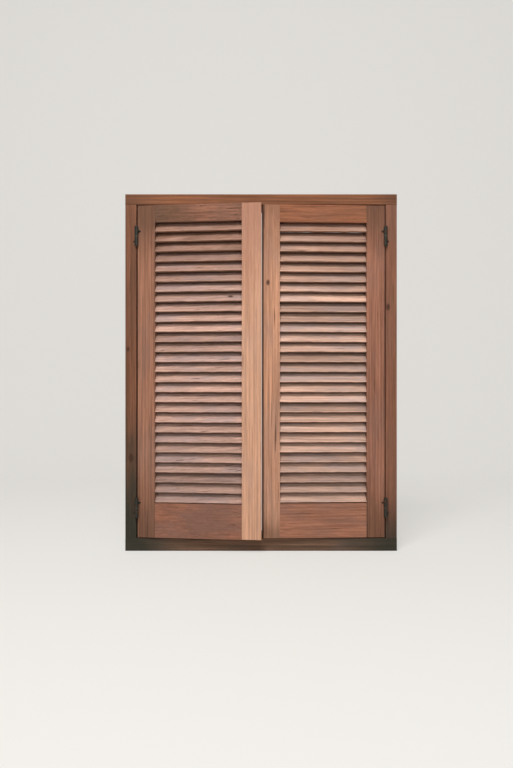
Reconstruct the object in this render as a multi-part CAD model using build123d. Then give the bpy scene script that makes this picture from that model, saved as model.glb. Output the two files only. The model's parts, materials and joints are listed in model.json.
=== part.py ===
"""A pair of louvred wooden shutters in their wooden frame, standing a little ajar.

Millimetres. +X is to the viewer's right, the front faces -Y, +Z is up. The origin is the middle of
the underside of the sill rail, halfway through the frame's depth.
"""
from build123d import *
from math import cos, radians, sin
import os

# Frame
frame_width = 950.0
frame_height = 1248.0
frame_depth = 60.0
jamb_face = 39.0
head_face = 37.0
sill_face = 45.0
lip_overlap = 12.0
lip_depth = 18.0
frame_arris = 2.0
frame_tenon_length = 22.0
frame_tenon_depth = 26.0
frame_tenon_edge = 8.0

# Holes through the jambs for the screws that hold the frame in its wall
fixing_hole_diameter = 8.0
fixing_hole_spacing = 820.0
fixing_hole_back = 22.0

# Leaves
leaf_thickness = 40.0
hinge_gap = 3.0
leaf_head_gap = 3.0
leaf_sill_gap = 3.0
meeting_gap = 6.0
meeting_offset = 6.0
meeting_bevel = 4.5
left_hinge_stile = 62.0
left_meeting_stile = 68.0
right_meeting_stile = 56.0
right_hinge_stile = 64.0
top_rail_height = 60.0
bottom_rail_height = 120.0
stile_arris = 1.5
meeting_arris = 3.0
left_ajar_angle = 6.5
right_ajar_angle = 2.5

# Tenons of the rails in the stiles
rail_tenon_thickness = 12.0
rail_tenon_length = 40.0
top_tenon_shoulder = 10.0
bottom_tenon_shoulder = 14.0
joint_clearance = 0.15

# Slats
slat_count = 28
slat_width = 48.0
slat_thickness = 9.0
slat_angle = 50.0
slat_setback = 2.5
slat_sill_gap = 1.0
housing_depth = 8.0
housing_end_clearance = 0.3
housing_clearance = 0.15
rebate_clearance = 1.5

# Barrel hinges
hinge_height = 70.0
hinge_barrel_diameter = 12.5
hinge_pin_diameter = 7.0
hinge_pin_length = 60.0
hinge_pin_clearance = 0.05
hinge_seat_clearance = 0.02
hinge_face_clearance = 1.75
hinge_washer_thickness = 1.0
hinge_axial_clearance = 0.1
hinge_shank_diameter = 7.0
hinge_shank_reach = 44.0
hinge_shank_point = 4.0
hinge_shank_tip = 3.0
hinge_shank_angle = 45.0
hinge_barrel_round = 1.5
top_hinge_drop = 148.0
bottom_hinge_rise = 152.0

# Latch rod and what turns with it
rod_diameter = 14.0
rod_edge_distance = 34.0
rod_back_distance = 14.0
rod_end_clearance = 1.0
rod_arris = 1.5
rod_clearance = 0.08
collar_diameter = 20.0
collar_height = 5.0
collar_clearance = 0.3
finger_hub_diameter = 22.0
finger_height = 7.0
finger_width = 9.0
finger_reach = 28.0
fork_height = 19.0
fork_hub_diameter = 24.0
fork_slot_width = 8.6
fork_cheek_thickness = 5.0
fork_slot_floor = 9.5
handle_height = 560.0
handle_pin_offset = 17.5
handle_pin_diameter = 6.0
handle_pin_clearance = 0.05

# Latch handle
handle_thickness = 8.0
handle_eye_diameter = 14.0
handle_depth = 14.0
handle_tip_depth = 9.0
handle_length = 116.0
handle_knob_diameter = 18.0

# Guides that carry the rod
guide_plate_width = 46.0
guide_plate_height = 26.0
guide_plate_thickness = 3.0
guide_ring_diameter = 22.0
guide_ring_height = 18.0
guide_web_width = 12.0
guide_screw_spacing = 33.0
guide_end_distance = 100.0
guide_above_fork = 46.0

# Keepers for the fingers
keeper_plate_width = 46.0
keeper_plate_depth = 16.0
keeper_plate_thickness = 3.0
keeper_clearance = 1.0
keeper_pin_diameter = 6.0
keeper_pin_forward = 20.0
keeper_pin_height = 14.0
keeper_screw_spacing = 34.0

# Keeper for the handle, on the right leaf
handle_keeper_width = 30.0
handle_keeper_height = 62.0
handle_keeper_hook_width = 14.0
handle_keeper_thickness = 6.0
handle_keeper_lip = 4.0
handle_keeper_lip_rise = 10.0
handle_keeper_clearance = 2.0
handle_keeper_screw_spacing = 46.0

# Countersunk screws
screw_diameter = 3.5
screw_head_diameter = 7.0
screw_head_height = 1.8
screw_length = 16.0
screw_clearance = 0.05

# Levels of the frame
front = -frame_depth / 2
back = frame_depth / 2
lip_front = back - lip_depth
jamb_inner = frame_width / 2 - jamb_face
sill_top = sill_face
head_bottom = frame_height - head_face
sill_lip_top = sill_top + lip_overlap
head_lip_bottom = head_bottom - lip_overlap

# Levels of the leaves when closed
leaf_back = front + leaf_thickness
leaf_middle = (front + leaf_back) / 2
leaf_bottom = sill_top + leaf_sill_gap
leaf_top = head_bottom - leaf_head_gap
leaf_outer = jamb_inner - hinge_gap
left_meeting_edge = meeting_offset - meeting_gap / 2
right_meeting_edge = meeting_offset + meeting_gap / 2
louvre_bottom = leaf_bottom + bottom_rail_height
louvre_top = leaf_top - top_rail_height

# Slat section and spacing
slat_tilt = radians(slat_angle)
slat_rise = (slat_width - slat_thickness) * sin(slat_tilt) + slat_thickness
slat_run = (slat_width - slat_thickness) * cos(slat_tilt) + slat_thickness
slat_pitch = (louvre_top - louvre_bottom) / slat_count
slat_middle = front + slat_setback + slat_run / 2
lowest_slat = louvre_bottom + slat_sill_gap + slat_rise / 2
highest_slat_top = lowest_slat + (slat_count - 1) * slat_pitch + slat_rise / 2
rebate_height = highest_slat_top + rebate_clearance - louvre_top
rebate_depth = leaf_back - slat_middle + rebate_clearance

# Hinge axes, in the middle of the gap between leaf and jamb
hinge_x = jamb_inner - hinge_gap / 2
hinge_y = front - hinge_face_clearance - hinge_barrel_diameter / 2
hinge_levels = {"top": frame_height - top_hinge_drop, "bottom": bottom_hinge_rise}

# Latch places when the left leaf is closed
rod_x = left_meeting_edge - rod_edge_distance
rod_y = leaf_back + rod_back_distance
finger_bottom = sill_lip_top + keeper_plate_thickness + keeper_clearance
latch_middle = (sill_lip_top + head_lip_bottom) / 2
rod_bottom = finger_bottom + rod_end_clearance
rod_top = 2 * latch_middle - rod_bottom
handle_pin_y = rod_y + handle_pin_offset
fork_width = fork_slot_width + 2 * fork_cheek_thickness
guide_levels = {
    "bottom": rod_bottom + guide_end_distance,
    "middle": handle_height + guide_above_fork,
    "top": rod_top - guide_end_distance,
}
keeper_pin_x = rod_x + keeper_pin_forward
keeper_pin_y = rod_y - finger_width / 2 - keeper_clearance - keeper_pin_diameter / 2
keeper_y = (lip_front + back) / 2
handle_keeper_x = right_meeting_edge + (right_meeting_stile - meeting_bevel) / 2


def block(x_low, x_high, y_low, y_high, z_low, z_high):
    """A box between six planes."""
    corner = Pos(x_low, y_low, z_low)
    return corner * Box(x_high - x_low, y_high - y_low, z_high - z_low, align=Align.MIN)


def rod_along(start, direction, radius, length):
    """A round bar that starts at a point and runs along a direction."""
    return extrude(Plane(origin=start, z_dir=direction) * Circle(radius), amount=length)


def upright(x, y, z, radius, height):
    """A round bar that stands on its lower end."""
    return rod_along((x, y, z), (0, 0, 1), radius, height)


def screw(x, y, z, direction):
    """A countersunk screw with its head flush at a point."""
    plane = Plane(origin=(x, y, z), z_dir=direction)
    head = plane * Cone(screw_head_diameter / 2, screw_diameter / 2, screw_head_height,
                        align=(Align.CENTER, Align.CENTER, Align.MIN))
    shank = rod_along((x, y, z), direction, screw_diameter / 2, screw_length)
    return (head + shank).solid()


def screw_hole(x, y, z, direction):
    """The hole that a screw fills, wider by its clearance."""
    plane = Plane(origin=(x, y, z), z_dir=direction)
    head = plane * Cone(screw_head_diameter / 2 + screw_clearance, screw_diameter / 2 + screw_clearance,
                        screw_head_height, align=(Align.CENTER, Align.CENTER, Align.MIN))
    shank = rod_along((x, y, z), direction, screw_diameter / 2 + screw_clearance,
                      screw_length + screw_clearance)
    return head + shank


# Frame


def frame_rail(face_height, top_up):
    """A head or sill rail: full width, with its lip between the jambs.

    The rail is drawn with its outer side at z = 0 and its inner side at face_height, and turned
    over for the head.
    """
    half = frame_width / 2
    body = block(-half, half, front, back, 0, face_height)
    body = fillet(body.edges().filter_by(Axis.X).sort_by(Axis.Y)[:2], frame_arris)
    lip = block(-jamb_inner, jamb_inner, lip_front, back, face_height, face_height + lip_overlap)
    rail = body + lip
    for side in (-1, 1):
        rail -= jamb_tenon(side, face_height, joint_clearance)
    if top_up:
        rail = rail.rotate(Axis.Y, 180).moved(Location((0, 0, frame_height)))
    return rail


def jamb_tenon(side, shoulder, clearance):
    """The tenon of a jamb below a shoulder level, grown by a clearance on its sides and end."""
    middle = side * (jamb_inner + jamb_face / 2)
    half_width = jamb_face / 2 - frame_tenon_edge + clearance
    half_depth = frame_tenon_depth / 2 + clearance
    return block(middle - half_width, middle + half_width, -half_depth, half_depth,
                 shoulder - frame_tenon_length - clearance, shoulder)


def frame_jamb(side):
    """A jamb with its stop lip, tenons, hinge shank holes and fixing holes."""
    low, high = sorted((side * jamb_inner, side * frame_width / 2))
    post = block(low, high, front, back, sill_top, head_bottom)
    post = fillet(post.edges().filter_by(Axis.Z).sort_by(Axis.Y)[:2], frame_arris)
    low, high = sorted((side * (jamb_inner - lip_overlap), side * jamb_inner))
    post += block(low, high, lip_front, back, sill_lip_top, head_lip_bottom)
    post += jamb_tenon(side, sill_top, 0)
    top_tenon = jamb_tenon(side, head_face, 0).mirror(Plane.XY)
    post += top_tenon.moved(Location((0, 0, frame_height)))
    for level in hinge_levels.values():
        post -= hinge_shank(side, level, -1, screw_clearance)
    for step in (-1, 1):
        level = frame_height / 2 + step * fixing_hole_spacing / 2
        outside = (side * frame_width, front + fixing_hole_back, level)
        post -= rod_along(outside, (-side, 0, 0), fixing_hole_diameter / 2, frame_width / 2 + jamb_face)
    return post


# Hinges


def hinge_shank(side, level, half, clearance=0.0):
    """The screw shank of a hinge half, plain and pointed.

    half is -1 for the lower half, which is held in the jamb, and 1 for the upper one in the leaf.
    """
    angle = radians(hinge_shank_angle)
    across = side if half < 0 else -side
    direction = Vector(across * cos(angle), sin(angle), 0)
    start_reach = (hinge_pin_diameter + hinge_barrel_diameter) / 4
    z = level + half * hinge_height / 4
    start = Vector(side * hinge_x, hinge_y, z) + direction * start_reach
    radius = hinge_shank_diameter / 2 + clearance
    length = hinge_shank_reach - start_reach - hinge_shank_point + clearance
    bar = rod_along(start, direction, radius, length)
    tip = Plane(origin=start + direction * length, z_dir=direction)
    return bar + tip * Cone(radius, hinge_shank_tip / 2 + clearance, hinge_shank_point,
                            align=(Align.CENTER, Align.CENTER, Align.MIN))


def hinge_half(side, level, half):
    """A hinge barrel with its blind pin bore and its shank."""
    inner_end = level + half * hinge_washer_thickness / 2
    if half > 0:
        inner_end += hinge_axial_clearance
    outer_end = level + half * hinge_height / 2
    low, high = sorted((inner_end, outer_end))
    barrel = upright(side * hinge_x, hinge_y, low, hinge_barrel_diameter / 2, high - low)
    rims = barrel.edges().filter_by(GeomType.CIRCLE).sort_by(Axis.Z)
    barrel = fillet(rims[-1] if half > 0 else rims[0], hinge_barrel_round)
    barrel += hinge_shank(side, level, half)
    clearance = hinge_pin_clearance if half > 0 else hinge_seat_clearance
    bore_end = level + half * (hinge_pin_length / 2 + clearance)
    low, high = sorted((inner_end, bore_end))
    return barrel - upright(side * hinge_x, hinge_y, low, hinge_pin_diameter / 2 + clearance, high - low)


def hinge_pin(side, level):
    """The pin that stands in the lower half and carries the upper one."""
    pin = upright(side * hinge_x, hinge_y, level - hinge_pin_length / 2,
                  hinge_pin_diameter / 2, hinge_pin_length)
    return chamfer(pin.edges().filter_by(GeomType.CIRCLE), hinge_pin_diameter / 10)


def hinge_washer(side, level):
    """The washer between the two halves of a hinge."""
    low = level - hinge_washer_thickness / 2
    disc = upright(side * hinge_x, hinge_y, low, hinge_barrel_diameter / 2, hinge_washer_thickness)
    hole = upright(side * hinge_x, hinge_y, low, hinge_pin_diameter / 2 + hinge_pin_clearance,
                   hinge_washer_thickness)
    return disc - hole


# Leaves


def slat_section(grow):
    """A slat's section on the YZ plane, its outer edge low, grown by a clearance."""
    return Rot(0, 0, slat_angle) * SlotOverall(slat_width + 2 * grow, slat_thickness + 2 * grow)


def slat_levels():
    """The heights of the slats' middles, from the lowest."""
    return [lowest_slat + step * slat_pitch for step in range(slat_count)]


def slats(x_low, x_high):
    """One leaf's slats, each with its ends in the housings of the stiles."""
    reach = housing_depth - housing_end_clearance
    start = Plane(origin=(x_low - reach, slat_middle, 0), x_dir=(0, 1, 0), z_dir=(1, 0, 0))
    slat = extrude(start * slat_section(0), amount=x_high - x_low + 2 * reach).solid()
    return Compound([slat.moved(Location((0, 0, level))) for level in slat_levels()])


def housings(edge_x, inward):
    """The inclined blind housings in a stile's edge, cut square for the slat ends."""
    start = Plane(origin=(edge_x, slat_middle, 0), x_dir=(0, 1, 0), z_dir=(1, 0, 0))
    section = Rot(0, 0, slat_angle) * Rectangle(slat_width + 2 * housing_clearance,
                                                slat_thickness + 2 * housing_clearance)
    pocket = extrude(start * section, amount=housing_depth).solid()
    shift = 0 if inward > 0 else -housing_depth
    return [pocket.moved(Location((shift, 0, level))) for level in slat_levels()]


def rail_tenon(edge_x, outward, z_low, z_high, clearance):
    """A rail's tenon past its shoulder, grown by a clearance on its sides and end."""
    low, high = sorted((edge_x, edge_x + outward * (rail_tenon_length + clearance)))
    half = rail_tenon_thickness / 2 + clearance
    return block(low, high, leaf_middle - half, leaf_middle + half, z_low - clearance, z_high + clearance)


def tenon_levels(rail):
    """The lower and upper edge of a rail's tenons."""
    if rail == "top":
        return louvre_top + top_tenon_shoulder, leaf_top - top_tenon_shoulder
    return leaf_bottom + bottom_tenon_shoulder, louvre_bottom - bottom_tenon_shoulder


def stile(profile_points, round_points, round_radius, inner_x, outward):
    """A full-height stile: its section, mortises for both rails and housings for the slats."""
    section = make_face(Polyline(profile_points, close=True))
    for point in round_points:
        section = fillet(section.vertices().sort_by_distance(Vector(*point))[0], round_radius)
    post = extrude(Plane((0, 0, leaf_bottom)) * section, amount=leaf_top - leaf_bottom)
    for rail in ("top", "bottom"):
        low, high = tenon_levels(rail)
        post -= rail_tenon(inner_x, outward, low, high, joint_clearance)
    for housing in housings(inner_x, outward):
        post -= housing
    return post


def hinge_stile(side, width):
    """The stile at the jamb, with the holes of its two hinge shanks."""
    outer, inner = side * leaf_outer, side * (leaf_outer - width)
    points = [(outer, front), (inner, front), (inner, leaf_back), (outer, leaf_back)]
    post = stile(points, [(outer, front), (inner, front)], stile_arris, inner, side)
    for level in hinge_levels.values():
        post -= hinge_shank(side, level, 1, screw_clearance)
    return post


def meeting_stile(side, width):
    """The stile at the meeting joint, bevelled so that the leaves clear each other as they swing."""
    edge = left_meeting_edge if side < 0 else right_meeting_edge
    inner = edge + side * width
    points = [(edge, front), (inner, front), (inner, leaf_back), (edge - meeting_bevel, leaf_back)]
    radius = meeting_arris if side < 0 else stile_arris
    post = stile(points, [(edge, front)], radius, inner, -side)
    if side < 0:
        for x, z in guide_screw_places():
            post -= screw_hole(x, leaf_back + guide_plate_thickness, z, (0, -1, 0))
    else:
        for x, z in handle_keeper_screw_places():
            post -= screw_hole(x, leaf_back + guide_plate_thickness, z, (0, -1, 0))
    return post


def leaf_rail(x_low, x_high, rail):
    """A rail between the stiles, with a tenon at each end.

    The top rail is rebated behind its lower edge, where the highest slat stands up behind it.
    """
    z_low, z_high = (louvre_top, leaf_top) if rail == "top" else (leaf_bottom, louvre_bottom)
    body = block(x_low, x_high, front, leaf_back, z_low, z_high)
    if rail == "top" and rebate_height > 0:
        body -= block(x_low, x_high, leaf_back - rebate_depth, leaf_back, z_low, z_low + rebate_height)
    low, high = tenon_levels(rail)
    return body + rail_tenon(x_low, -1, low, high, 0) + rail_tenon(x_high, 1, low, high, 0)


# Latch


def guide_screw_places():
    """Where the guides' screws stand on the back of the left meeting stile."""
    half = guide_screw_spacing / 2
    return [(rod_x + step, level) for level in guide_levels.values() for step in (-half, half)]


def handle_keeper_screw_places():
    """Where the handle keeper's screws stand on the back of the right meeting stile."""
    middle = handle_height - handle_depth / 2 - handle_keeper_thickness
    half = handle_keeper_screw_spacing / 2
    return [(handle_keeper_x, middle - half), (handle_keeper_x, middle + half)]


def latch_rod():
    """The rod, with a collar above the bottom and the middle guide that keeps it from dropping."""
    rod = upright(rod_x, rod_y, rod_bottom, rod_diameter / 2, rod_top - rod_bottom)
    rod = chamfer(rod.edges().filter_by(GeomType.CIRCLE), rod_arris)
    for name in ("bottom", "middle"):
        level = guide_levels[name] + guide_ring_height / 2 + collar_clearance
        rod += upright(rod_x, rod_y, level, collar_diameter / 2, collar_height)
    return rod


def rod_sleeve(level, height):
    """The hole that a piece has where it is fixed on the rod."""
    return upright(rod_x, rod_y, level, rod_diameter / 2 + hinge_seat_clearance, height)


def latch_finger(end):
    """A finger at one end of the rod, pointing into the room while the latch is open."""
    hub = upright(rod_x, rod_y, finger_bottom, finger_hub_diameter / 2, finger_height)
    half = finger_width / 2
    tip = finger_reach - half
    arm = block(rod_x - half, rod_x + half, rod_y, rod_y + tip, finger_bottom,
                finger_bottom + finger_height)
    finger = hub + arm + upright(rod_x, rod_y + tip, finger_bottom, half, finger_height)
    finger -= rod_sleeve(finger_bottom, finger_height)
    return finger if end == "bottom" else over_middle(finger)


def over_middle(shape):
    """A copy of a latch piece turned over about the middle of its height, for the top end."""
    return shape.mirror(Plane((0, 0, latch_middle)))


def latch_fork():
    """The fork on the rod that holds the handle between its cheeks."""
    low = handle_height - fork_height / 2
    cheek_round = fork_height / 2
    half = fork_width / 2
    hub = upright(rod_x, rod_y, low, fork_hub_diameter / 2, fork_height)
    cheeks = block(rod_x - half, rod_x + half, rod_y, handle_pin_y, low, low + fork_height)
    cheeks += rod_along((rod_x - half, handle_pin_y, handle_height), (1, 0, 0), cheek_round, fork_width)
    slot_half = fork_slot_width / 2
    slot = block(rod_x - slot_half, rod_x + slot_half, rod_y + fork_slot_floor,
                 handle_pin_y + fork_height, low, low + fork_height)
    pin_hole = rod_along((rod_x - half, handle_pin_y, handle_height), (1, 0, 0),
                         handle_pin_diameter / 2 + hinge_seat_clearance, fork_width)
    return hub + cheeks - slot - pin_hole - rod_sleeve(low, fork_height)


def latch_handle_pin():
    """The level pin that the handle turns on."""
    start = (rod_x - fork_width / 2, handle_pin_y, handle_height)
    return rod_along(start, (1, 0, 0), handle_pin_diameter / 2, fork_width)


def latch_handle():
    """The handle as it hangs: an eye, a tapered flat bar and a ball at its end."""
    half = handle_thickness / 2
    start = Plane(origin=(rod_x - half, handle_pin_y, handle_height), x_dir=(0, 1, 0), z_dir=(1, 0, 0))
    bar_points = [(-handle_depth / 2, 0), (handle_depth / 2, 0),
                  (handle_tip_depth / 2, -handle_length), (-handle_tip_depth / 2, -handle_length)]
    outline = Circle(handle_eye_diameter / 2) + make_face(Polyline(bar_points, close=True))
    outline -= Circle(handle_pin_diameter / 2 + handle_pin_clearance)
    bar = extrude(start * outline, amount=handle_thickness)
    knob = Pos(rod_x, handle_pin_y, handle_height - handle_length) * Sphere(handle_knob_diameter / 2)
    return bar + knob


def latch_guide(level):
    """A guide: a plate on the leaf's back with a ring round the rod."""
    half_width, half_height = guide_plate_width / 2, guide_plate_height / 2
    plate_back = leaf_back + guide_plate_thickness
    plate = block(rod_x - half_width, rod_x + half_width, leaf_back, plate_back,
                  level - half_height, level + half_height)
    plate = fillet(plate.edges().filter_by(Axis.Y), guide_plate_thickness)
    ring_low, ring_high = level - guide_ring_height / 2, level + guide_ring_height / 2
    web = block(rod_x - guide_web_width / 2, rod_x + guide_web_width / 2, leaf_back, rod_y,
                ring_low, ring_high)
    ring = upright(rod_x, rod_y, ring_low, guide_ring_diameter / 2, guide_ring_height)
    guide = plate + web + ring
    guide -= upright(rod_x, rod_y, ring_low, rod_diameter / 2 + rod_clearance, guide_ring_height)
    for x, z in guide_screw_places():
        if z == level:
            guide -= screw_hole(x, plate_back, z, (0, -1, 0))
    return guide


def latch_guide_screws():
    """The screws of the three guides."""
    plate_back = leaf_back + guide_plate_thickness
    return Compound([screw(x, plate_back, z, (0, -1, 0)) for x, z in guide_screw_places()])


def keeper_screw_places():
    """Where the bottom keeper's screws stand, on its plate's upper face."""
    half = keeper_screw_spacing / 2
    z = sill_lip_top + keeper_plate_thickness
    return [(keeper_pin_x - half, keeper_y, z), (keeper_pin_x + half, keeper_y, z)]


def latch_keeper(end):
    """A keeper on a stop lip: a plate and the pin that the finger turns behind."""
    half_width, half_depth = keeper_plate_width / 2, keeper_plate_depth / 2
    plate = block(keeper_pin_x - half_width, keeper_pin_x + half_width, keeper_y - half_depth,
                  keeper_y + half_depth, sill_lip_top, sill_lip_top + keeper_plate_thickness)
    pin = upright(keeper_pin_x, keeper_pin_y, sill_lip_top, keeper_pin_diameter / 2, keeper_pin_height)
    keeper = plate + pin
    for place in keeper_screw_places():
        keeper -= screw_hole(*place, (0, 0, -1))
    return keeper if end == "bottom" else over_middle(keeper)


def latch_keeper_screws():
    """The screws of both keepers."""
    lower = [screw(*place, (0, 0, -1)) for place in keeper_screw_places()]
    return Compound(lower + [over_middle(item) for item in lower])


def with_keeper_holes(rail, end):
    """A head or sill rail with the screw holes of its keeper."""
    for place in keeper_screw_places():
        hole = screw_hole(*place, (0, 0, -1))
        rail -= hole if end == "bottom" else over_middle(hole)
    return rail


def handle_keeper():
    """The hook on the right leaf's back that the handle drops into."""
    plate_back = leaf_back + guide_plate_thickness
    middle = handle_height - handle_depth / 2 - handle_keeper_thickness
    half = handle_keeper_width / 2
    plate = block(handle_keeper_x - half, handle_keeper_x + half, leaf_back, plate_back,
                  middle - handle_keeper_height / 2, middle + handle_keeper_height / 2)
    plate = fillet(plate.edges().filter_by(Axis.Y), guide_plate_thickness)
    arm_top = handle_height - handle_depth / 2 - handle_keeper_clearance
    arm_low = arm_top - handle_keeper_thickness
    lip_y = rod_y + handle_thickness / 2 + handle_keeper_clearance
    lip_top = handle_height - handle_depth / 2 + handle_keeper_lip_rise
    hook_points = [(leaf_back, arm_low), (lip_y + handle_keeper_lip, arm_low),
                   (lip_y + handle_keeper_lip, lip_top), (lip_y, lip_top),
                   (lip_y, arm_top), (leaf_back, arm_top)]
    start = Plane(origin=(handle_keeper_x - handle_keeper_hook_width / 2, 0, 0),
                  x_dir=(0, 1, 0), z_dir=(1, 0, 0))
    hook = extrude(start * make_face(Polyline(hook_points, close=True)), amount=handle_keeper_hook_width)
    keeper = plate + hook
    for x, z in handle_keeper_screw_places():
        keeper -= screw_hole(x, plate_back, z, (0, -1, 0))
    return keeper


def handle_keeper_screws():
    """The screws of the handle keeper."""
    plate_back = leaf_back + guide_plate_thickness
    places = handle_keeper_screw_places()
    return Compound([screw(x, plate_back, z, (0, -1, 0)) for x, z in places])


# The whole


def swing(shape, side):
    """A leaf's piece turned from closed to its ajar place about the leaf's hinge axis."""
    axis = Axis((side * hinge_x, hinge_y, 0), (0, 0, 1))
    angle = -left_ajar_angle if side < 0 else right_ajar_angle
    turned = [solid.rotate(axis, angle) for solid in shape.solids()]
    return Compound(turned) if len(turned) > 1 else turned[0]


def frame_pieces():
    """The four pieces of the frame."""
    return {
        "frame_sill_rail": with_keeper_holes(frame_rail(sill_face, False), "bottom"),
        "frame_head": with_keeper_holes(frame_rail(head_face, True), "top"),
        "frame_jamb_left": frame_jamb(-1),
        "frame_jamb_right": frame_jamb(1),
    }


def leaf_pieces(name, side, hinge_width, meeting_width):
    """One leaf's stiles, rails and slats, swung ajar."""
    edge = left_meeting_edge if side < 0 else right_meeting_edge
    x_low, x_high = sorted((side * (leaf_outer - hinge_width), edge + side * meeting_width))
    pieces = {
        "hinge_stile": hinge_stile(side, hinge_width),
        "meeting_stile": meeting_stile(side, meeting_width),
        "top_rail": leaf_rail(x_low, x_high, "top"),
        "bottom_rail": leaf_rail(x_low, x_high, "bottom"),
        "slats": slats(x_low, x_high),
    }
    return {f"leaf_{name}_{piece}": swing(shape, side) for piece, shape in pieces.items()}


def hinge_pieces():
    """The four hinges, two on each side."""
    pieces = {}
    for name, side in (("left", -1), ("right", 1)):
        for place, level in hinge_levels.items():
            hinge = f"hinge_{name}_{place}"
            pieces[f"{hinge}_frame_half"] = hinge_half(side, level, -1)
            pieces[f"{hinge}_pin"] = hinge_pin(side, level)
            pieces[f"{hinge}_washer"] = hinge_washer(side, level)
            pieces[f"{hinge}_leaf_half"] = swing(hinge_half(side, level, 1), side)
    return pieces


def latch_pieces():
    """The latch: what rides on the left leaf, its keepers and the handle's keeper."""
    on_left_leaf = {
        "latch_rod": latch_rod(),
        "latch_finger_top": latch_finger("top"),
        "latch_finger_bottom": latch_finger("bottom"),
        "latch_fork": latch_fork(),
        "latch_handle_pin": latch_handle_pin(),
        "latch_handle": latch_handle(),
        "latch_guide_screws": latch_guide_screws(),
    }
    for place, level in guide_levels.items():
        on_left_leaf[f"latch_guide_{place}"] = latch_guide(level)
    pieces = {name: swing(shape, -1) for name, shape in on_left_leaf.items()}
    pieces["latch_keeper_top"] = latch_keeper("top")
    pieces["latch_keeper_bottom"] = latch_keeper("bottom")
    pieces["latch_keeper_screws"] = latch_keeper_screws()
    pieces["handle_keeper"] = swing(handle_keeper(), 1)
    pieces["handle_keeper_screws"] = swing(handle_keeper_screws(), 1)
    return pieces


def main():
    """Builds every piece and writes each to its own file."""
    os.makedirs("parts", exist_ok=True)
    pieces = frame_pieces()
    pieces |= leaf_pieces("left", -1, left_hinge_stile, left_meeting_stile)
    pieces |= leaf_pieces("right", 1, right_hinge_stile, right_meeting_stile)
    pieces |= hinge_pieces()
    pieces |= latch_pieces()
    for name, shape in pieces.items():
        export_step(shape, f"parts/{name}.step")
    print(len(pieces), "pieces")


main()
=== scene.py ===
"""The finish of a pair of weathered louvred shutters in their frame. Metres, +Z up, the front faces -Y."""
import json
import logging
from dataclasses import dataclass, field
from enum import Enum
from math import atan, pi, radians, sin
from random import Random
from typing import Any

import bmesh
import bpy
from mathutils import Matrix, Vector


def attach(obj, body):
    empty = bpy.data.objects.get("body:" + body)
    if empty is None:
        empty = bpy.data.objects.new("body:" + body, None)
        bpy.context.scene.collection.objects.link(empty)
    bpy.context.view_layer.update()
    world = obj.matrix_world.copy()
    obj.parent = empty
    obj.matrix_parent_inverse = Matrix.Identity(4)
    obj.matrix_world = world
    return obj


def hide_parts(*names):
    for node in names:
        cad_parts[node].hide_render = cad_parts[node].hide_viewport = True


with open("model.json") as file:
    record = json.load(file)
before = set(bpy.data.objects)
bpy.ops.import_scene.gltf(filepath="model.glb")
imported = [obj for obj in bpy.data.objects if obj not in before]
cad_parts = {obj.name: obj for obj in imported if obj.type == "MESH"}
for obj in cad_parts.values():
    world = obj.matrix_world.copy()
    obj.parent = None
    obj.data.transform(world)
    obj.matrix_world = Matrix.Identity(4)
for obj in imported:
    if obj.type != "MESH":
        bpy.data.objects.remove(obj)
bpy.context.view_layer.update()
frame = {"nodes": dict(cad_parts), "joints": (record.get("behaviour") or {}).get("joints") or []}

log = logging.getLogger("shutters")

Tone = tuple[float, float, float]
Place = tuple[float, float, float]

# Brown for real dirt low down, and for painted shade under the head and in the top corners.
BROWN_STAIN_AND_SHADE: Tone = (84, 56, 40)
MOSS_STAIN: Tone = (40, 42, 33)
CRACK_TONE: Tone = (48, 31, 22)
KNOT_TONE: Tone = (58, 34, 22)
# Dark slat colour: real staining on single slats, and painted shade on the slats near the top, under the head.
SLAT_STAIN_AND_SHADE_TONE: Tone = (84, 58, 44)
# The colour of the painted shade where each slat runs into its stile.
SLAT_END_SHADE_TONE: Tone = (92, 60, 42)
RUST_TONE: Tone = (94, 58, 38)


class Grain(Enum):
    """The direction that a piece's grain runs, in the part's own frame."""

    LEVEL = 0
    UPRIGHT = 2


class Side(Enum):
    """The two leaves: the sign of X on the side of the leaf's hinges."""

    LEFT = -1
    RIGHT = 1


def linear(tone: Tone) -> tuple[float, float, float, float]:
    """Turns a colour as a screen shows it into the renderer's own values.

    Args:
        tone: Red, green and blue from 0 to 255.

    Returns:
        The linear colour with full opacity.
    """
    parts = [value / 255 for value in tone]
    parts = [p / 12.92 if p <= 0.04045 else ((p + 0.055) / 1.055) ** 2.4 for p in parts]
    return parts[0], parts[1], parts[2], 1.0


def shade(tone: Tone, factor: float) -> Tone:
    """Makes a screen colour lighter or darker by a factor."""
    return tone[0] * factor, tone[1] * factor, tone[2] * factor


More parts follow.
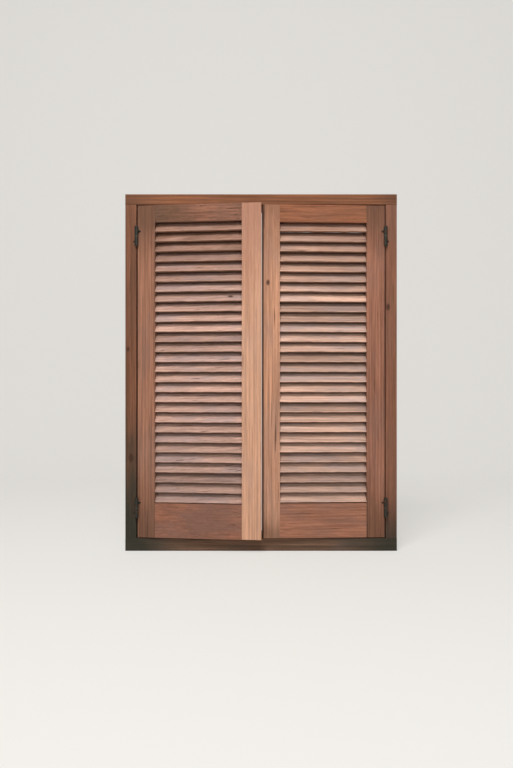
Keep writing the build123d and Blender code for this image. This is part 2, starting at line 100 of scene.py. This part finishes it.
class Graph:
    """A material's node tree with short ways to add and join its nodes."""

    def __init__(self, name: str) -> None:
        """Starts an empty material under a name."""
        self.material = bpy.data.materials.new(name)
        self.material.use_nodes = True
        self.tree = self.material.node_tree
        self.tree.nodes.clear()

    def add(self, kind: str, inputs: dict[Any, Any] | None = None, **settings: Any) -> bpy.types.Node:
        """Adds a node.

        Args:
            kind: The node's type without its ShaderNode prefix.
            inputs: Input name or number to a plain value or to another node's output.
            settings: The node's own settings.

        Returns:
            The new node.
        """
        node = self.tree.nodes.new("ShaderNode" + kind)
        for name, value in settings.items():
            setattr(node, name, value)
        for key, value in (inputs or {}).items():
            if isinstance(value, bpy.types.NodeSocket):
                self.tree.links.new(value, node.inputs[key])
            else:
                node.inputs[key].default_value = value
        return node

    def math(self, operation: str, first: Any, second: Any = 0.0) -> bpy.types.NodeSocket:
        """Joins two values with a sum, a product or the like."""
        return self.add("Math", {0: first, 1: second}, operation=operation).outputs[0]

    def mix(self, factor: Any, first: Any, second: Any, blend: str = "MIX") -> bpy.types.NodeSocket:
        """Mixes two colours by a factor."""
        node = self.add("Mix", {0: factor, 6: first, 7: second}, data_type="RGBA", blend_type=blend)
        return node.outputs[2]

    def step(self, value: Any, low: float, high: float, start: float = 0.0,
             end: float = 1.0) -> bpy.types.NodeSocket:
        """Maps a value smoothly from a range to another, and holds it outside."""
        inputs = {"Value": value, "From Min": low, "From Max": high, "To Min": start, "To Max": end}
        return self.add("MapRange", inputs, interpolation_type="SMOOTHSTEP").outputs["Result"]

    def noise(self, vector: Any, scale: float, detail: float, rough: float = 0.55,
              distortion: float = 0.0) -> bpy.types.NodeSocket:
        """Adds a cloud pattern and gives its value."""
        inputs = {"Vector": vector, "Scale": scale, "Detail": detail, "Roughness": rough,
                  "Distortion": distortion}
        return self.add("TexNoise", inputs).outputs["Fac"]

    def finish(self, inputs: dict[Any, Any]) -> bpy.types.Material:
        """Ends the tree in one surface shader.

        Args:
            inputs: The shader's inputs.

        Returns:
            The finished material.
        """
        shader = self.add("BsdfPrincipled", inputs)
        self.add("OutputMaterial", {"Surface": shader.outputs[0]})
        return self.material


@dataclass(frozen=True)
class Knot:
    """A knot in a board, as a place and a radius in metres."""

    place: Place
    radius: float


@dataclass(frozen=True)
class StainAndShade:
    """A darkening that grows towards one end of a piece, or towards both ends of a level one.

    full and clear are in metres: all of the darkening is there at full, and none at clear. They are
    heights, or where sideways is set, distances from the middle of the part. Low down it is real
    staining; towards the top and in the corners under the head it is painted shade, partly grime.
    """

    tone: Tone
    full: float
    clear: float
    strength: float
    sideways: bool = False


@dataclass(frozen=True)
class WeatheredWood:
    """Bare softwood that sun and rain have bleached, furrowed and stained."""

    name: str
    grain: Grain
    tone: Tone
    seed: float
    contrast: float = 1.0
    grey: float = 0.25
    stains_and_shade: tuple[StainAndShade, ...] = ()
    knots: tuple[Knot, ...] = ()
    by_slat: bool = False
    cracks: float = 0.72
    # The colour of the painted shade under each slat's nose and on its underside.
    painted_shade_tone: Tone = (78, 51, 36)
    furrow_depth: float = 0.0007
    furrow_strength: float = 0.5
    gloss: float = 0.25

    def coordinates(self, graph: Graph, along: float) -> bpy.types.NodeSocket:
        """Object coordinates, moved by the seed and drawn out along the grain."""
        place = graph.add("TexCoord").outputs["Object"]
        if self.by_slat:
            offset = graph.add("Attribute", attribute_name="slat_tone").outputs["Color"]
            place = graph.add("VectorMath", {0: offset, 1: (7.0, 3.0, 5.0), 2: place},
                              operation="MULTIPLY_ADD").outputs[0]
        scale = [1.0, 1.0, 1.0]
        scale[self.grain.value] = along
        inputs = {"Vector": place, "Location": (self.seed, self.seed * 0.7, self.seed * 1.3), "Scale": scale}
        return graph.add("Mapping", inputs).outputs[0]

    def rings(self, graph: Graph) -> bpy.types.NodeSocket:
        """The year rings as wavering bands across the board."""
        direction = "X" if self.grain is Grain.UPRIGHT else "Z"
        inputs = {"Vector": self.coordinates(graph, 0.07), "Scale": 30.0, "Distortion": 5.0, "Detail": 3.0,
                  "Detail Scale": 0.8, "Detail Roughness": 0.5}
        return graph.add("TexWave", inputs, bands_direction=direction).outputs["Fac"]

    def board_colour(self, graph: Graph, streak: Any, rings: Any) -> bpy.types.NodeSocket:
        """The board's own colour before its staining and painted shade, from its streaks, rings and bleaching.
        """
        dark = linear(shade(self.tone, 1 - 0.20 * self.contrast))
        light = linear(shade(self.tone, 1 + 0.12 * self.contrast))
        colour = graph.mix(graph.step(streak, 0.30, 0.70), dark, light)
        late_wood = graph.math("MULTIPLY", graph.step(rings, 0.45, 1.0), 0.30 * self.contrast)
        colour = graph.mix(late_wood, colour, linear(shade(self.tone, 0.66)))
        grey_tone = linear((self.tone[0] * 0.80, self.tone[1] * 0.90, self.tone[2] * 1.02))
        patch = graph.noise(self.coordinates(graph, 0.35), 13.0, 5.0, 0.6)
        weathered = graph.math("MULTIPLY", graph.step(patch, 0.42, 0.66), self.grey * 2)
        return graph.mix(weathered, colour, grey_tone)

    def darkened(self, graph: Graph, colour: Any) -> bpy.types.NodeSocket:
        """Lays the piece's darkening towards its ends, real staining low down and painted shade towards the
        top and corners, and its knots over its colour.
        """
        place = graph.add("TexCoord").outputs["Object"]
        parts = graph.add("SeparateXYZ", {0: place}).outputs
        sideways = graph.math("ABSOLUTE", parts["X"])
        edge = graph.noise(self.coordinates(graph, 0.3), 16.0, 6.0, 0.65)
        for stain_and_shade in self.stains_and_shade:
            reach = stain_and_shade.clear - stain_and_shade.full
            moved = graph.math("MULTIPLY_ADD", edge, reach * 1.1)
            moved.node.inputs[2].default_value = -reach * 0.55
            level = graph.math("ADD", sideways if stain_and_shade.sideways else parts["Z"], moved)
            amount = graph.step(level, stain_and_shade.full, stain_and_shade.clear, stain_and_shade.strength, 0.0)
            colour = graph.mix(amount, colour, linear(stain_and_shade.tone))
        for knot in self.knots:
            scale = [1.0, 1.0, 1.0]
            scale[self.grain.value] = 0.6
            apart = graph.add("VectorMath", {0: place, 1: knot.place}, operation="SUBTRACT").outputs[0]
            squeezed = graph.add("VectorMath", {0: apart, 1: scale}, operation="MULTIPLY").outputs[0]
            distance = graph.add("VectorMath", {0: squeezed}, operation="LENGTH").outputs["Value"]
            amount = graph.step(distance, knot.radius * 0.5, knot.radius * 1.4, 0.85, 0.0)
            colour = graph.mix(amount, colour, linear(KNOT_TONE))
        return colour

    def slat_variation(self, graph: Graph, colour: Any) -> bpy.types.NodeSocket:
        """Each slat's own tone and staining, with painted shade added near the top, a painted highlight
        on its nose, and painted shade at its ends, under the nose above and on its underside.
        """
        slat = graph.add("Attribute", attribute_name="slat_tone")
        own = graph.add("SeparateColor", {0: slat.outputs["Color"]})
        tone = graph.step(own.outputs[0], 0.0, 1.0, 0.72, 1.16)
        bright = graph.add("CombineColor", {0: tone, 1: tone, 2: tone}).outputs[0]
        colour = graph.mix(1.0, colour, bright, "MULTIPLY")
        patch = graph.noise(self.coordinates(graph, 0.4), 16.0, 4.0)
        # Each slat's darkening, in patches: real staining, with painted shade on the slats near the top.
        stain_and_shade = graph.math("MULTIPLY", own.outputs[1], graph.step(patch, 0.25, 0.65))
        colour = graph.mix(stain_and_shade, colour, linear(SLAT_STAIN_AND_SHADE_TONE))
        # The slat's place across its width and thickness, used only to place painted shade and a painted
        # highlight.
        light_mask = graph.add("Attribute", attribute_name="slat_wear").outputs["Color"]
        light_mask_parts = graph.add("SeparateColor", {0: light_mask})
        across, upward = light_mask_parts.outputs[0], light_mask_parts.outputs[1]
        # A painted highlight: a paler line, in patches, along the arris at the top of each slat's nose.
        painted_nose_highlight = graph.math("MULTIPLY", graph.step(across, 0.955, 0.985, 0.0, 0.55),
                                 graph.step(patch, 0.35, 0.55))
        colour = graph.mix(painted_nose_highlight, colour, linear(shade(self.tone, 1.14)))
        # Painted shade: the back of the upper face, under the nose of the slat above, and the underside and
        # lower nose are darkened.
        colour = graph.mix(graph.step(across, 0.16, 0.36, 0.8, 0.0), colour, linear(self.painted_shade_tone))
        colour = graph.mix(graph.step(upward, 0.45, 0.93, 0.9, 0.0), colour, linear(self.painted_shade_tone))
        # Painted shade: each slat is darkened at its ends, where it runs into the stiles.
        along = slat.outputs["Alpha"]
        near_end = graph.math("ABSOLUTE", graph.math("SUBTRACT", along, 0.5))
        return graph.mix(graph.step(near_end, 0.472, 0.487, 0.0, 0.7), colour,
                         linear(SLAT_END_SHADE_TONE))

    def material(self) -> bpy.types.Material:
        """Builds the whole finish.

        Returns:
            The material, with its furrows and cracks as bump.
        """
        graph = Graph(self.name)
        streak = graph.noise(self.coordinates(graph, 0.02), 120.0, 6.0, 0.66)
        fibre = graph.noise(self.coordinates(graph, 0.03), 620.0, 3.0, 0.6)
        rings = self.rings(graph)
        cracks = graph.step(graph.noise(self.coordinates(graph, 0.022), 150.0, 2.0, 0.5, 0.15), 0.67, 0.71)
        colour = self.board_colour(graph, streak, rings)
        if self.by_slat:
            colour = self.slat_variation(graph, colour)
        colour = self.darkened(graph, colour)
        fine = graph.step(fibre, 0.35, 0.65, 0.88, 1.07)
        fine_grey = graph.add("CombineColor", {0: fine, 1: fine, 2: fine}).outputs[0]
        colour = graph.mix(1.0, colour, fine_grey, "MULTIPLY")
        colour = graph.mix(graph.math("MULTIPLY", cracks, self.cracks), colour, linear(CRACK_TONE))
        height = graph.math("ADD", graph.math("MULTIPLY", fibre, 0.35), graph.math("MULTIPLY", rings, -0.30))
        height = graph.math("SUBTRACT", height, graph.math("MULTIPLY", cracks, 1.2))
        bump = graph.add("Bump", {"Strength": self.furrow_strength, "Distance": self.furrow_depth,
                                  "Height": height}).outputs[0]
        rough = graph.step(streak, 0.3, 0.7, 0.92, 0.76)
        return graph.finish({"Base Color": colour, "Roughness": rough, "Specular IOR Level": self.gloss,
                             "Normal": bump})


@dataclass(frozen=True)
class OldIron:
    """Forged iron gone nearly black, with rust and a green cast."""

    name: str
    tone: Tone = (30, 33, 27)
    rust: float = 0.35

    def material(self) -> bpy.types.Material:
        """Builds the iron with its rust blotches and pitted surface."""
        graph = Graph(self.name)
        place = graph.add("TexCoord").outputs["Object"]
        blotch = graph.noise(place, 90.0, 6.0, 0.62)
        pits = graph.noise(place, 900.0, 4.0, 0.6)
        colour = graph.mix(graph.step(pits, 0.4, 0.7), linear(self.tone), linear(shade(self.tone, 1.5)))
        rusty = graph.math("MULTIPLY", graph.step(blotch, 0.48, 0.68), self.rust * 2)
        colour = graph.mix(rusty, colour, linear(RUST_TONE))
        height = graph.math("ADD", graph.math("MULTIPLY", pits, 0.5), blotch)
        bump = graph.add("Bump", {"Strength": 0.6, "Distance": 0.0005, "Height": height}).outputs[0]
        rough = graph.step(blotch, 0.35, 0.7, 0.5, 0.85)
        return graph.finish({"Base Color": colour, "Roughness": rough, "Metallic": 0.45, "Normal": bump})


@dataclass
class Timber:
    """The frame and the leaves' stiles and rails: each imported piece's own board of wood."""

    low_dark: StainAndShade = StainAndShade(MOSS_STAIN, 0.09, 0.62, 0.95)
    low_trace: StainAndShade = StainAndShade(MOSS_STAIN, 0.04, 0.22, 0.75)
    low_edge: StainAndShade = StainAndShade((88, 62, 46), 0.05, 0.15, 0.6)
    # Darker towards the top of the stiles: painted shade under the head, partly grime.
    top_shade_and_grime: StainAndShade = StainAndShade(BROWN_STAIN_AND_SHADE, 1.20, 0.98, 0.75)
    top_brown_shade_and_grime: StainAndShade = StainAndShade((122, 82, 60), 1.21, 0.98, 0.75)
    pink_top_shade_and_grime: StainAndShade = StainAndShade((150, 104, 84), 1.25, 0.70, 0.8)
    boards: dict[str, WeatheredWood] = field(default_factory=dict)

    def __post_init__(self) -> None:
        """Lists every board's finish."""
        up, level = Grain.UPRIGHT, Grain.LEVEL
        brown_low = StainAndShade(BROWN_STAIN_AND_SHADE, 0.05, 0.34, 0.7)
        right_jamb_knot = Knot((0.444, -0.03, 0.853), 0.007)
        left_jamb_knots = (Knot((-0.465, -0.03, 0.706), 0.005), Knot((-0.455, -0.03, 0.325), 0.009))
        meeting_knot = Knot((0.024, -0.048, 0.937), 0.006)
        sill_ends = StainAndShade(MOSS_STAIN, 0.45, 0.24, 0.9, True)
        # Darker at both ends of the head and at the top rail's hinge end: painted shade in the corners, partly
        # grime.
        head_end_shade_and_grime = StainAndShade(BROWN_STAIN_AND_SHADE, 0.48, 0.34, 0.55, True)
        left_rail_corner_shade_and_grime = StainAndShade((84, 62, 47), 0.40, 0.14, 0.75, True)
        self.boards = {
            "frame_head": WeatheredWood("head_wood", level, (123, 77, 51), 1.7, 1.05, 0.12,
                                        (head_end_shade_and_grime,)),
            "frame_sill_rail": WeatheredWood("sill_wood", level, (107, 80, 62), 4.1, 1.1, 0.3, (sill_ends,)),
            "frame_jamb_left": WeatheredWood("left_jamb_wood", up, (111, 71, 50), 2.3, 0.9, 0.15,
                                             (self.low_dark,), left_jamb_knots),
            "frame_jamb_right": WeatheredWood("right_jamb_wood", up, (125, 82, 62), 6.9, 0.9, 0.15,
                                              (self.low_trace,), (right_jamb_knot,)),
            # The hinge stiles' tones are darker than the meeting stiles': painted shade of the window reveal,
            # put into their colour.
            "leaf_left_hinge_stile": WeatheredWood("left_hinge_stile_wood", up, (151, 104, 81), 8.2, 1.1, 0.2,
                                                   (brown_low, self.top_shade_and_grime)),
            "leaf_left_meeting_stile": WeatheredWood("left_meeting_stile_wood", up, (194, 147, 119), 9.4, 0.6,
                                                     0.12, (self.pink_top_shade_and_grime,)),
            "leaf_left_top_rail": WeatheredWood("left_top_rail_wood", level, (129, 86, 66), 3.6, 0.9, 0.2,
                                                (left_rail_corner_shade_and_grime,)),
            "leaf_left_bottom_rail": WeatheredWood("left_bottom_rail_wood", level, (142, 94, 73), 5.2, 0.7,
                                                   0.35, cracks=0.3),
            # Darker tone here too: painted shade of the window reveal.
            "leaf_right_hinge_stile": WeatheredWood("right_hinge_stile_wood", up, (146, 98, 77), 7.7, 1.1,
                                                    0.2, (brown_low, self.top_shade_and_grime)),
            "leaf_right_meeting_stile": WeatheredWood("right_meeting_stile_wood", up, (182, 133, 105), 12.9,
                                                      0.85, 0.15, (self.low_edge, self.top_brown_shade_and_grime),
                                                      (meeting_knot,)),
            "leaf_right_top_rail": WeatheredWood("right_top_rail_wood", level, (138, 87, 61), 10.3, 0.8, 0.12,
                                                 cracks=0.4),
            "leaf_right_bottom_rail": WeatheredWood("right_bottom_rail_wood", level, (151, 101, 78), 11.8,
                                                    0.75, 0.25, cracks=0.3),
        }

    def dress(self) -> None:
        """Gives each packed board its wood."""
        for node, board in self.boards.items():
            dress_node(node, board.material())
            log.info("%s: %s", node, board.name)


@dataclass
class Ironwork:
    """The hinges and the latch, as packed, in old iron."""

    hinge_iron: OldIron = OldIron("hinge_iron")
    latch_iron: OldIron = OldIron("latch_iron", (52, 50, 46), 0.25)
    pin_iron: OldIron = OldIron("pin_iron", (88, 84, 78), 0.4)

    def dress(self) -> None:
        """Gives each packed iron piece its finish."""
        hinge, latch, pin = (finish.material() for finish in (self.hinge_iron, self.latch_iron, self.pin_iron))
        for node in frame["nodes"]:
            if node.endswith(("screws", "_pin", "washer")):
                dress_node(node, pin)
            elif node.startswith("hinge_"):
                dress_node(node, hinge)
            elif node.startswith(("latch_", "handle_")):
                dress_node(node, latch)
        log.info("ironwork dressed")


@dataclass
class SlatBank:
    """One leaf's slats, each a little out of true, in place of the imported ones."""

    side: Side
    x_low: float
    x_high: float
    seed: int
    tone: Tone
    count: int = 28
    width: float = 0.048
    thickness: float = 0.009
    tilt: float = radians(50)
    reach: float = 0.0077
    middle_y: float = -0.010466
    lowest: float = 0.188438
    pitch: float = 0.035
    arris: float = 0.0011
    rounding: float = 0.0022
    bow: float = 0.0006
    twist: float = radians(0.9)
    lengths: int = 14
    wettest: float = 0.85
    wet_choices: tuple[float, ...] = (0.0, 0.05, 0.1, 0.3)
    # Painted shade under the head: the top slats, fewer than the number below, get this much more darkening.
    slat_top_shade: float = 0.12
    shaded_top_slats: int = 8

    def slat(self, number: int, rng: Random) -> bpy.types.Mesh:
        """Makes one slat in its place on the closed leaf.

        Args:
            number: The slat's number, from the lowest.
            rng: The bank's own source of chance.

        Returns:
            The slat's mesh. One colour attribute holds its tone, its darkening (real staining, and painted
            shade near the top), a chance and its share of the length; the other holds its share of the width
            and of the thickness, which places the painted shade and the painted highlight.
        """
        mesh = bmesh.new()
        length = self.x_high - self.x_low + 2 * self.reach
        bmesh.ops.create_cube(mesh, size=1.0)
        bmesh.ops.scale(mesh, vec=(length, self.width, self.thickness), verts=mesh.verts)
        nose = [e for e in self.lengthways(mesh, length) if self.at_nose(e)]
        bmesh.ops.bevel(mesh, geom=nose, offset=self.arris, segments=3, profile=0.5, affect="EDGES",
                        material=-1)
        rest = [e for e in self.lengthways(mesh, length) if not self.at_nose(e)]
        bmesh.ops.bevel(mesh, geom=rest, offset=self.rounding, segments=4, profile=0.5, affect="EDGES",
                        material=-1)
        bmesh.ops.subdivide_edges(mesh, edges=self.lengthways(mesh, length), cuts=self.lengths,
                                  use_grid_fill=True)
        rise, wave = rng.uniform(-self.bow, self.bow), rng.uniform(0, 2 * pi)
        tone = (rng.uniform(0.25, 0.85), self.darkening_of(number, rng), rng.random())
        tones = mesh.verts.layers.float_color.new("slat_tone")
        light_mask = mesh.verts.layers.float_color.new("slat_wear")
        for vert in mesh.verts:
            share = vert.co.x / length + 0.5
            vert[light_mask] = (0.5 - vert.co.y / self.width, vert.co.z / self.thickness + 0.5, 0.0, 1.0)
            nose = max(0.0, -vert.co.y / self.width - 0.3) * 5
            vert.co.z += rise * sin(pi * share) + 0.00012 * sin(9 * share + wave)
            vert.co.y += nose * 0.00035 * (sin(23 * share + wave) + sin(57 * share + 2 * wave))
            vert[tones] = (*tone, share)
        turn = Matrix.Rotation(self.tilt + rng.uniform(-self.twist, self.twist), 3, "X")
        bmesh.ops.rotate(mesh, verts=mesh.verts, matrix=turn)
        height = self.lowest + number * self.pitch + rng.uniform(-0.0004, 0.0004)
        middle = ((self.x_low + self.x_high) / 2, self.middle_y, height)
        bmesh.ops.translate(mesh, verts=mesh.verts, vec=middle)
        data = bpy.data.meshes.new("slat")
        mesh.to_mesh(data)
        mesh.free()
        return data

    def at_nose(self, edge: bmesh.types.BMEdge) -> bool:
        """Tells whether an edge is part of the arris at the top of the slat's front end."""
        near = 2 * self.arris
        middle = (edge.verts[0].co + edge.verts[1].co) / 2
        return middle.y < near - self.width / 2 and middle.z > self.thickness / 2 - near

    def lengthways(self, mesh: bmesh.types.BMesh, length: float) -> list[bmesh.types.BMEdge]:
        """The edges that run the whole length of a slat."""
        return [e for e in mesh.edges if abs(e.verts[0].co.x - e.verts[1].co.x) > length / 2]

    def build(self) -> bpy.types.Object:
        """Builds all the slats of the leaf in one piece.

        Returns:
            The piece, swung to the leaf's place at rest, at the origin.
        """
        rng = Random(self.seed)
        mesh = bmesh.new()
        for number in range(self.count):
            slat = self.slat(number, rng)
            mesh.from_mesh(slat)
            bpy.data.meshes.remove(slat)
        self.swing(mesh)
        for face in mesh.faces:
            face.smooth = True
        bmesh.ops.recalc_face_normals(mesh, faces=mesh.faces)
        name = f"{self.side.name.lower()}_slats_worn"
        data = bpy.data.meshes.new(name)
        mesh.to_mesh(data)
        mesh.free()
        piece = bpy.data.objects.new(name, data)
        bpy.context.collection.objects.link(piece)
        return piece

    def darkening_of(self, number: int, rng: Random) -> float:
        """How dark one slat is: real staining, most on the second and third from the top of the left leaf,
        with painted shade added to the slats near the top.
        """
        from_top = self.count - number
        if self.side is Side.LEFT and from_top in (2, 3):
            return self.wettest
        # Random real staining, plus painted shade for the slats near the top.
        return rng.choice(self.wet_choices) + (self.slat_top_shade if from_top < self.shaded_top_slats else 0.0)

    def swing(self, mesh: bmesh.types.BMesh) -> None:
        """Turns the slats about the leaf's hinge axis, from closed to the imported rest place."""
        joint = next(j for j in frame["joints"] if j["name"] == f"{self.side.name.lower()}_leaf_swing")
        angle = -radians(joint["range_deg"][0]) * joint["axis"][2]
        bmesh.ops.rotate(mesh, verts=mesh.verts, cent=Vector(joint["pos_m"]),
                         matrix=Matrix.Rotation(angle, 3, "Z"))

    def dress(self) -> None:
        """Places the slats on their leaf and gives them their wood."""
        leaf = f"leaf_{self.side.name.lower()}"
        # The first darkening is towards the bottom; the second, towards the top, is painted shade under the
        # head.
        stains_and_shade = (StainAndShade((112, 92, 84), 0.17, 0.50, 0.35), StainAndShade((124, 84, 62), 1.18, 0.80, 0.55))
        knots = (Knot((-0.106, -0.055, 0.888), 0.006),) if self.side is Side.LEFT else ()
        wood = WeatheredWood(f"{leaf}_slat_wood", Grain.LEVEL, self.tone, self.seed * 0.37, 0.75, 0.25,
                             stains_and_shade, knots, True, 0.55)
        piece = self.build()
        piece.data.materials.append(wood.material())
        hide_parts(f"{leaf}_slats")
        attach(piece, leaf)
        log.info("%s: %d slats, %d faces", piece.name, self.count, len(piece.data.polygons))


def dress_node(node: str, material: bpy.types.Material) -> None:
    """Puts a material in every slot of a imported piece.

    Args:
        node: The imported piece's name.
        material: The finish that it gets.
    """
    data = frame["nodes"][node].data
    if not data.materials:
        data.materials.append(material)
    for number in range(len(data.materials)):
        data.materials[number] = material


@dataclass
class Studio:
    """The floor, the backdrop, the lamps and the camera."""

    floor_tone: Tone = (226, 223, 217)
    picture_tone: Tone = (238, 236, 232)
    picture_share: float = 0.6
    floor_half: float = 6.0
    wall_distance: float = 3.2
    wall_height: float = 6.0
    sweep: float = 1.4
    eye: Place = (-0.016, -2.643, 0.584)
    focal_pixels: float = 747.0
    picture_height: float = 768.0
    aim: Place = (0.0, 0.0, 0.6)
    key_watts: float = 150
    fill_watts: float = 50
    room_strength: float = 0.30

    def cove(self) -> None:
        """Builds the floor that sweeps up into the backdrop."""
        mesh = bmesh.new()
        bmesh.ops.create_grid(mesh, x_segments=1, y_segments=1, size=self.floor_half)
        far = [e for e in mesh.edges if all(v.co.y > 0 for v in e.verts)]
        bmesh.ops.translate(mesh, vec=(0, self.wall_distance - self.floor_half, 0), verts=far[0].verts)
        risen = bmesh.ops.extrude_edge_only(mesh, edges=far)["geom"]
        top = [item for item in risen if isinstance(item, bmesh.types.BMVert)]
        bmesh.ops.translate(mesh, vec=(0, 0, self.wall_height), verts=top)
        fold = [e for e in mesh.edges if len(e.link_faces) == 2]
        bmesh.ops.bevel(mesh, geom=fold, offset=self.sweep, segments=16, profile=0.5, affect="EDGES",
                        material=-1)
        for face in mesh.faces:
            face.smooth = True
        data = bpy.data.meshes.new("studio_floor")
        mesh.to_mesh(data)
        mesh.free()
        floor = bpy.data.objects.new("studio_floor", data)
        bpy.context.collection.objects.link(floor)
        data.materials.append(self.paper())

    def paper(self) -> bpy.types.Material:
        """Makes the pale paper, which looks lighter in the picture than the light on it alone."""
        graph = Graph("studio_paper")
        surface = graph.add("BsdfPrincipled", {"Base Color": linear(self.floor_tone), "Roughness": 0.9})
        glow = graph.add("Emission", {"Color": linear(self.picture_tone), "Strength": 1.0})
        path = graph.add("LightPath").outputs
        seen = graph.math("MAXIMUM", path["Is Camera Ray"], path["Is Glossy Ray"])
        seen = graph.math("MAXIMUM", seen, path["Is Transmission Ray"])
        share = graph.math("MULTIPLY", seen, self.picture_share)
        mixed = graph.add("MixShader", {0: share, 1: surface.outputs[0], 2: glow.outputs[0]})
        graph.add("OutputMaterial", {"Surface": mixed.outputs[0]})
        return graph.material

    def lamp(self, name: str, place: Place, target: Place, size: float, watts: float) -> None:
        """Adds a soft square lamp that faces a point.

        Args:
            name: The lamp's name.
            place: Where it hangs.
            target: What it faces.
            size: Its side.
            watts: Its power.
        """
        light = bpy.data.lights.new(name, "AREA")
        light.size = size
        light.energy = watts
        lamp = bpy.data.objects.new(name, light)
        lamp.location = place
        lamp.rotation_euler = (Vector(target) - Vector(place)).to_track_quat("-Z", "Y").to_euler()
        bpy.context.collection.objects.link(lamp)

    def light(self) -> None:
        """Hangs the lamps and sets the faint light from all round."""
        self.lamp("key_above", (-0.6, -2.7, 3.7), self.aim, 1.5, self.key_watts)
        self.lamp("front_fill", (0.4, -4.2, 0.9), self.aim, 2.4, self.fill_watts)
        world = bpy.data.worlds.new("soft_room")
        world.use_nodes = True
        room = world.node_tree.nodes["Background"].inputs
        room["Color"].default_value = (1.0, 0.99, 0.97, 1.0)
        room["Strength"].default_value = self.room_strength
        bpy.context.scene.world = world

    def camera(self) -> None:
        """Sets the level camera in front of the shutters."""
        data = bpy.data.cameras.new("camera")
        data.sensor_fit = "VERTICAL"
        data.angle = 2 * atan(self.picture_height / 2 / self.focal_pixels)
        eye = bpy.data.objects.new("camera", data)
        eye.location = self.eye
        eye.rotation_euler = (pi / 2, 0, 0)
        bpy.context.collection.objects.link(eye)
        bpy.context.scene.camera = eye
        bpy.context.scene.view_settings.view_transform = "Standard"


def main() -> None:
    """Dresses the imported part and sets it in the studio."""
    logging.basicConfig(level=logging.INFO)
    Timber().dress()
    Ironwork().dress()
    SlatBank(Side.LEFT, -0.371, -0.065, 11, (192, 153, 136)).dress()
    SlatBank(Side.RIGHT, 0.065, 0.369, 23, (208, 168, 147)).dress()
    studio = Studio()
    studio.cove()
    studio.light()
    studio.camera()


if __name__ == "__main__":
    main()
